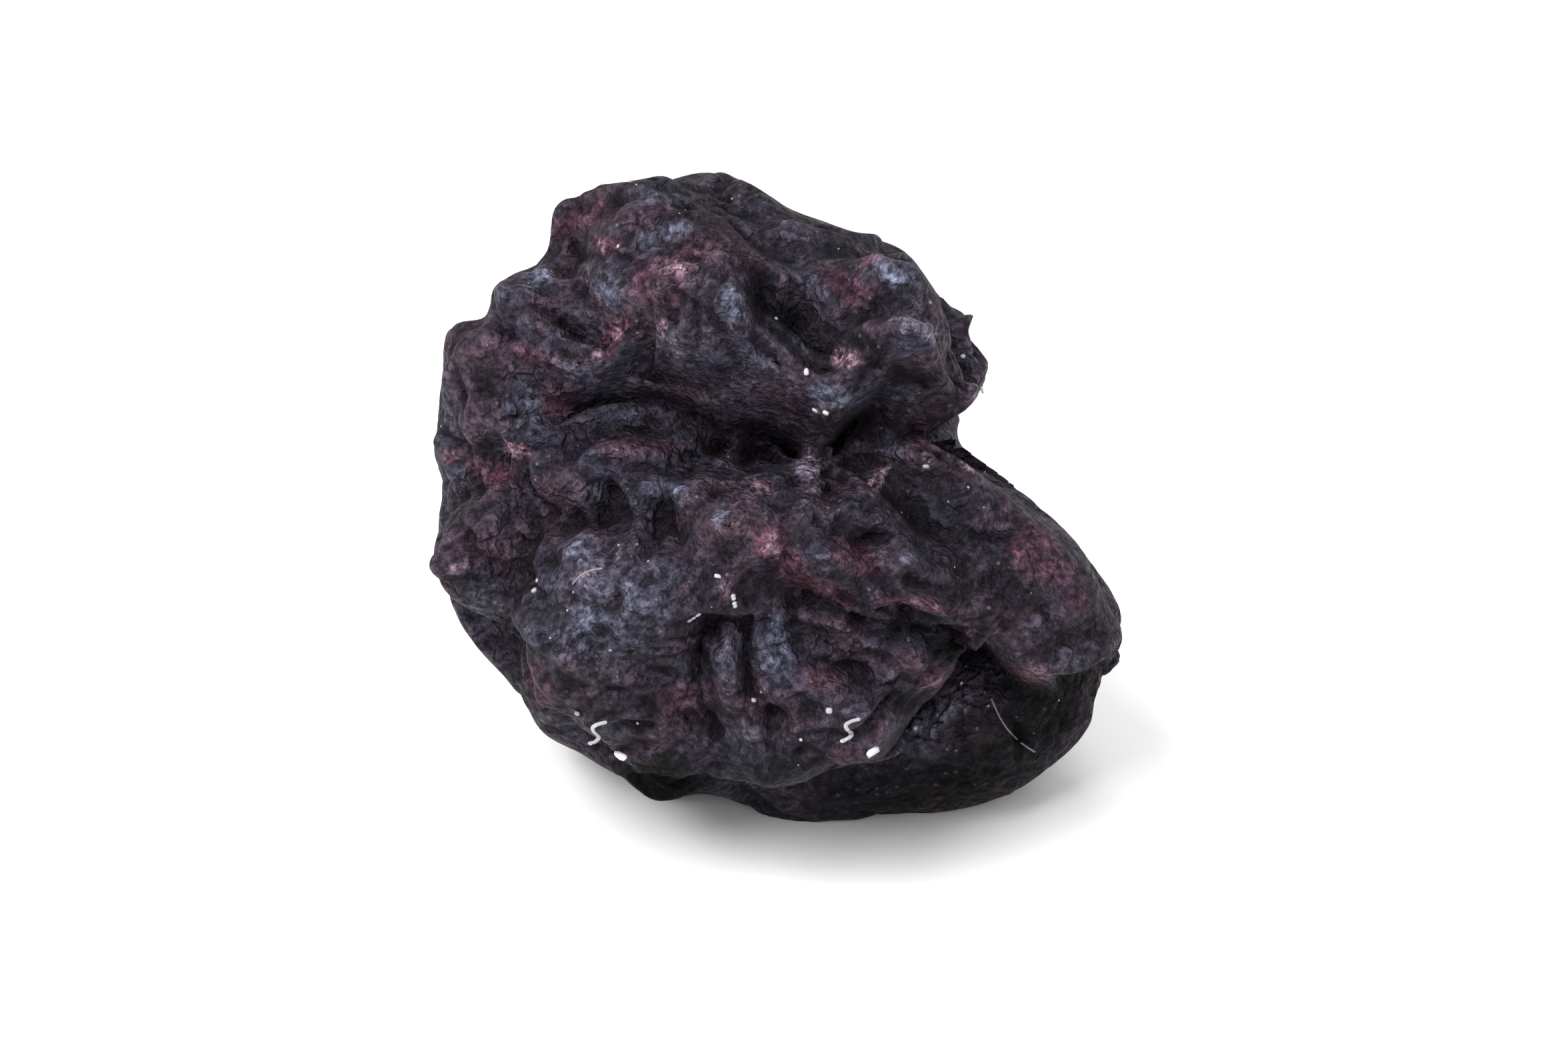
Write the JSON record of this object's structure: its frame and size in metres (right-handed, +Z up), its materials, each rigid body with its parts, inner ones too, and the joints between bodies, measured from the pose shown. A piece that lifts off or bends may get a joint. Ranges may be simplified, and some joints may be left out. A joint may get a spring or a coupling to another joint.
{
  "type": "dried blueberry",
  "caption": "A single dried blueberry, dark purple and deeply wrinkled, with a stem scar at one end and a calyx crown at the other.",
  "frame": {"origin": "on the surface the berry lies on, under the middle of its bounding box", "axes": "+Z up; seen along +Y is the pictured front, with the stem scar towards -X; the calyx crown faces +Y and down"},
  "size_m": [0.011, 0.0098, 0.0109],
  "materials": {
    "berry_skin": "matt wrinkled dried fruit skin, near black purple with blue-grey bloom"
  },
  "bodies": {
    "root": {"dried_blueberry": "berry_skin"}
  },
  "joints": []
}
